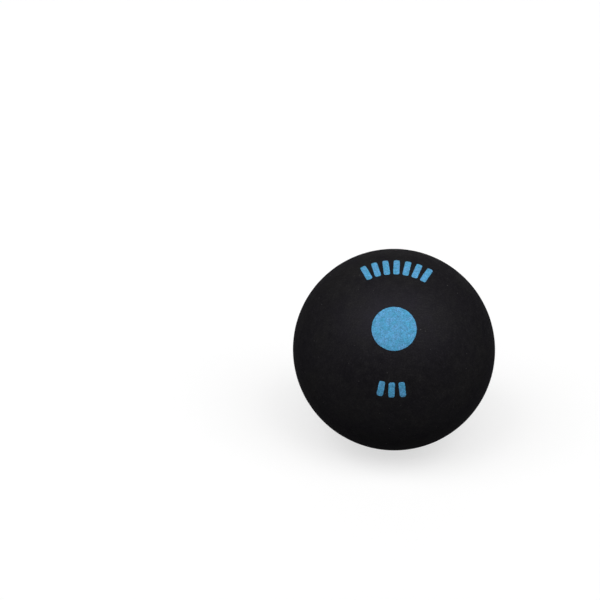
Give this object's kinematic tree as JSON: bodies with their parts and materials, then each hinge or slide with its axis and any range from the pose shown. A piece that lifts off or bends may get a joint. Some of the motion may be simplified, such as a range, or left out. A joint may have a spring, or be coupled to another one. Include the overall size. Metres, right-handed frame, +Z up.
{
  "type": "squash ball",
  "caption": "Hollow black rubber squash ball of the larger beginners' size: half-shells cemented at a seam, matte buffed skin, and a plain blue printed mark with a speed dot.",
  "frame": {"origin": "centre of the ball", "axes": "+Z up as the ball lies, -Y towards the viewer, +X to the viewer's right; the middle of the printed face looks along -Y and 39 degrees upwards, square to the seam"},
  "size_m": [0.045, 0.045, 0.045],
  "materials": {
    "rubber": "matte, buffed",
    "cement": "dull",
    "ink": "matte printed ink"
  },
  "bodies": {
    "root": {"front_half_shell": "rubber", "rear_half_shell": "rubber", "seam_cement": "cement", "speed_dot": "ink", "upper_bars": "ink", "lower_bars": "ink"}
  },
  "joints": []
}
